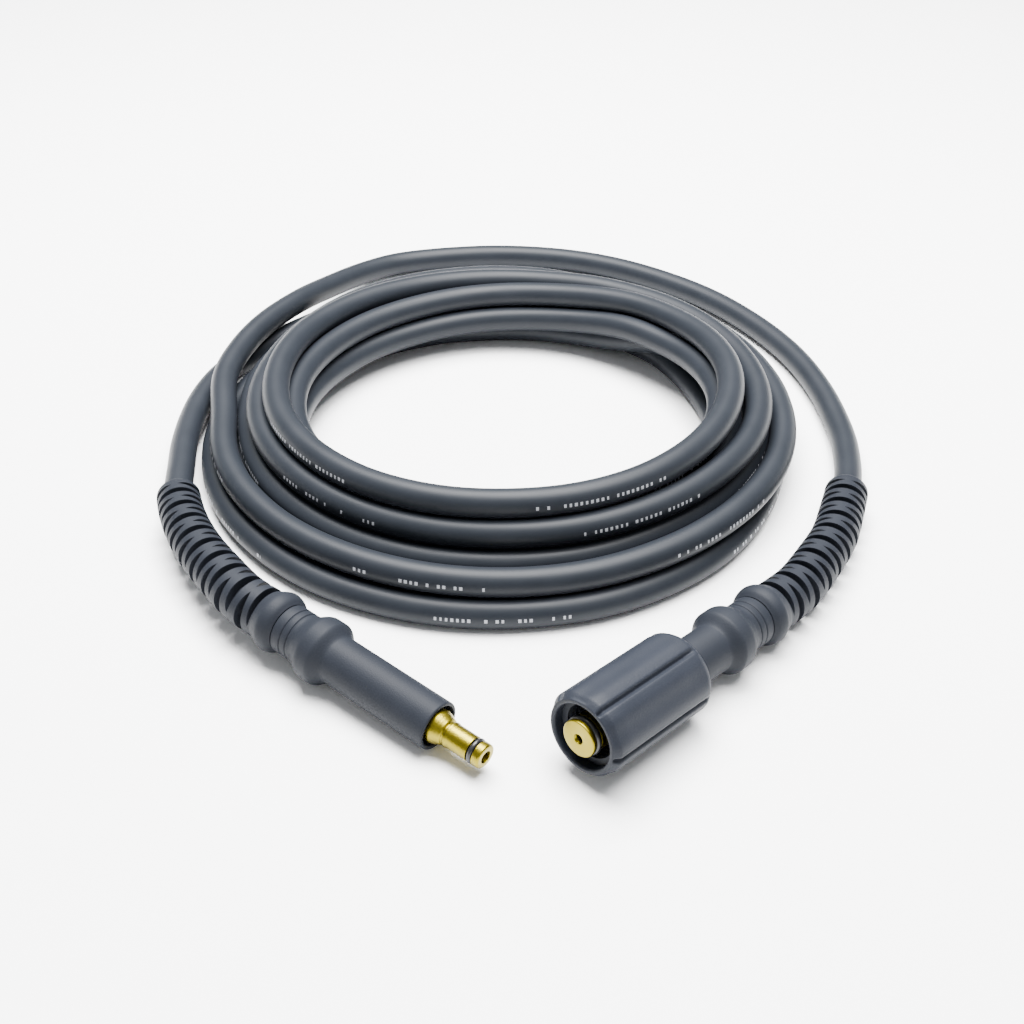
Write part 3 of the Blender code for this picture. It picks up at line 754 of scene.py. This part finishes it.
def make_brass():
    """Bright brass with fine turning lines along the barrels and rings on the end faces."""
    material, tree, shader, place, tone, relief, bump = grained(
        "brass", (0.155, 0.122, 0.008), (0.245, 0.198, 0.017), 0.34, 0.14, 1500.0, 0.30, 0.5, 1.0)
    bands = add_node(tree, "ShaderNodeTexWave", {"Vector": place, "Scale": 900.0, "Distortion": 0.8},
                     wave_type="BANDS", bands_direction="Z").outputs[1]
    rings = add_node(tree, "ShaderNodeTexWave", {"Vector": place, "Scale": 700.0, "Distortion": 0.6},
                     wave_type="RINGS", rings_direction="Z").outputs[1]
    lines = maths(tree, "ADD", bands, rings)
    tree.links.new(maths(tree, "MULTIPLY_ADD", lines, 0.4, relief), bump.inputs["Height"])
    return material


def make_hose(material, plug_tail, nut_tail):
    """The whole hose as one tube, from the plug end to the nut end."""
    path = hose_path(plug_tail, nut_tail)
    hose = add_piece("hose", tube_mesh("hose", path), material, "hose",
                     ("hose_coil", "hose_tail_plug_end", "hose_tail_nut_end"))


def make_seal():
    """Smooth black rubber of the O-rings."""
    return grained("seal_rubber", (0.006, 0.006, 0.007), (0.012, 0.012, 0.013),
                   0.30, 0.10, 1200.0, 0.15, 0.35)[0]


def make_grips(plug, nut, plug_tail, nut_tail):
    """Bend relief and sleeve of each end."""
    grip = grained("grip_plastic", (0.0082, 0.0096, 0.0130), (0.0115, 0.0133, 0.0178),
                   0.54, 0.10, 2200.0, 0.40, 0.09)[0]
    plug_sleeve = turned_mesh("plug_sleeve", sleeve_outline(PLUG_SLEEVE_END, RECESS_DEPTH),
                              FITTING_SIDES)
    nut_neck = turned_mesh("nut_neck", sleeve_outline(NECK_END, 0.0), FITTING_SIDES)
    for name, mesh, node, matrix in (
            ("plug_relief", relief_mesh("plug_relief", plug_tail, PLUG_SLOT_TURN),
             "bend_relief_plug_end", None),
            ("nut_relief", relief_mesh("nut_relief", nut_tail, 0.0),
             "bend_relief_nut_end", None),
            ("plug_sleeve", plug_sleeve, "grip_sleeve_plug_end", plug),
            ("nut_neck", nut_neck, "grip_sleeve_nut_end", nut)):
        add_piece(name, mesh, grip, "hose", (node,), matrix)


def make_brass_parts(plug, nut):
    """Nipple and insert, each with its O-ring."""
    brass = make_brass()
    seal = make_seal()
    nipple_ring = ring_outline(NIPPLE_RING_R, NIPPLE_RING_WIRE, NIPPLE_RING)
    insert_ring = ring_outline(INSERT_RING_R, INSERT_RING_WIRE, INSERT_RING)
    for name, outline, material, slot, node, matrix in (
            ("nipple", nipple_outline(), brass, "brass", "plug_nipple", plug),
            ("nipple_ring", nipple_ring, seal, "seal_rubber", "plug_o_ring", plug),
            ("insert", insert_outline(), brass, "brass", "nut_insert", nut),
            ("insert_ring", insert_ring, seal, "seal_rubber", "insert_o_ring", nut)):
        mesh = turned_mesh(name, outline, FITTING_SIDES)
        add_piece(name, mesh, material, "hose", (node,), matrix)


def make_nut(nut):
    """Screw nut, the one piece that turns."""
    plastic = grained("nut_plastic", (0.0088, 0.0105, 0.0150), (0.0130, 0.0152, 0.0210),
                      0.50, 0.12, 1800.0, 0.50, 0.11)[0]
    mesh = turned_mesh("hand_nut", nut_outline(), NUT_SIDES, nut_shape)
    add_piece("hand_nut", mesh, plastic, "nut", ("screw_nut",),
              nut @ Matrix.Rotation(NUT_TURN, 4, "Z"))


def make_floor():
    """Plain pale floor."""
    mesh = bpy.data.meshes.new("floor")
    reach = FLOOR_REACH
    mesh.from_pydata([(-reach, -reach, 0), (reach, -reach, 0), (reach, reach, 0), (-reach, reach, 0)],
                     [], [(0, 1, 2, 3)])
    floor = bpy.data.objects.new("floor", mesh)
    bpy.context.collection.objects.link(floor)
    material = bpy.data.materials.new("floor")
    material.use_nodes = True
    shader = material.node_tree.nodes["Principled BSDF"]
    shader.inputs["Base Color"].default_value = (0.95, 0.95, 0.95, 1.0)
    shader.inputs["Roughness"].default_value = 0.8
    mesh.materials.append(material)


def make_lights():
    """Soft studio light from above and an even pale sky."""
    world = bpy.data.worlds.new("studio")
    world.use_nodes = True
    world.node_tree.nodes["Background"].inputs["Color"].default_value = (0.96, 0.98, 1.0, 1.0)
    world.node_tree.nodes["Background"].inputs["Strength"].default_value = 0.55
    bpy.context.scene.world = world
    for name, place, size, power in LIGHTS:
        data = bpy.data.lights.new(name, "AREA")
        data.shape = "SQUARE"
        data.size = size
        data.energy = power
        light = bpy.data.objects.new(name, data)
        light.location = place
        light.rotation_euler = (-Vector(place)).to_track_quat("-Z", "Y").to_euler()
        bpy.context.collection.objects.link(light)


make_camera()
plug_grip, nut_grip = plug_frame(), nut_frame()
plug_stretch = tail_points(route(OUTER_TURN_R, PLUG_TAIL), plug_grip)
nut_stretch = tail_points(route(SECOND_OUTER_R, NUT_TAIL_START) + route(OUTER_TURN_R, NUT_TAIL),
                          nut_grip)
make_hose(make_rubber(), plug_stretch, nut_stretch)
make_grips(plug_grip, nut_grip, plug_stretch, nut_stretch)
make_brass_parts(plug_grip, nut_grip)
make_nut(nut_grip)
make_floor()
make_lights()
